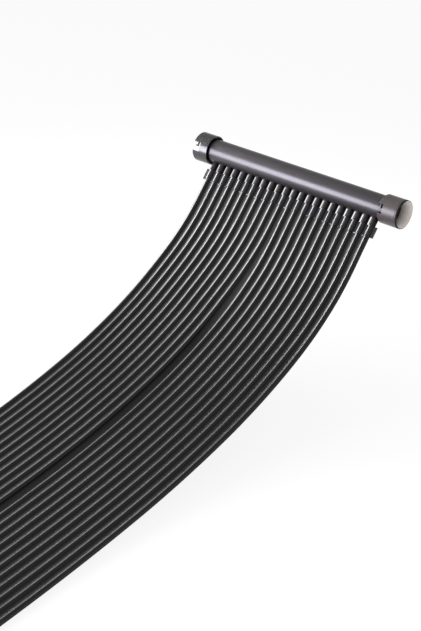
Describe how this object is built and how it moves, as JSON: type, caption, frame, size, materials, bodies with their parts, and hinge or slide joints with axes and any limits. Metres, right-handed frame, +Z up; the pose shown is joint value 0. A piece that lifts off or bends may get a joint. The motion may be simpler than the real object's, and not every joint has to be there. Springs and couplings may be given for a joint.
{
  "type": "solar pool heater panel",
  "caption": "Solar pool heater panel: two header pipes with end collars, joined by two mats of small black webbed tubes.",
  "frame": {"origin": "on the ground under the middle of the panel's box", "axes": "+X along the header pipes towards the socket collars, +Y towards the raised upper header, +Z up"},
  "size_m": [0.62, 3.009, 0.4508],
  "materials": {
    "header_plastic": "satin moulded",
    "collar_plastic": "satin moulded",
    "bar_plastic": "satin moulded",
    "tube_plastic": "smooth extruded",
    "seal_rubber": "moulded",
    "liner_rubber": "moulded"
  },
  "bodies": {
    "root": {"upper_header_pipe": "header_plastic", "upper_left_collar": "collar_plastic", "upper_right_collar": "collar_plastic", "upper_clamp_bar": "bar_plastic", "upper_left_seal": "seal_rubber", "upper_right_seal": "seal_rubber", "upper_right_ring": "seal_rubber", "upper_left_gasket": "liner_rubber", "upper_right_liner": "liner_rubber", "lower_header_pipe": "header_plastic", "lower_left_collar": "collar_plastic", "lower_right_collar": "collar_plastic", "lower_clamp_bar": "bar_plastic", "lower_left_seal": "seal_rubber", "lower_right_seal": "seal_rubber", "lower_right_ring": "seal_rubber", "lower_left_gasket": "liner_rubber", "lower_right_liner": "liner_rubber", "left_tube_mat": "tube_plastic", "right_tube_mat": "tube_plastic"}
  },
  "joints": []
}
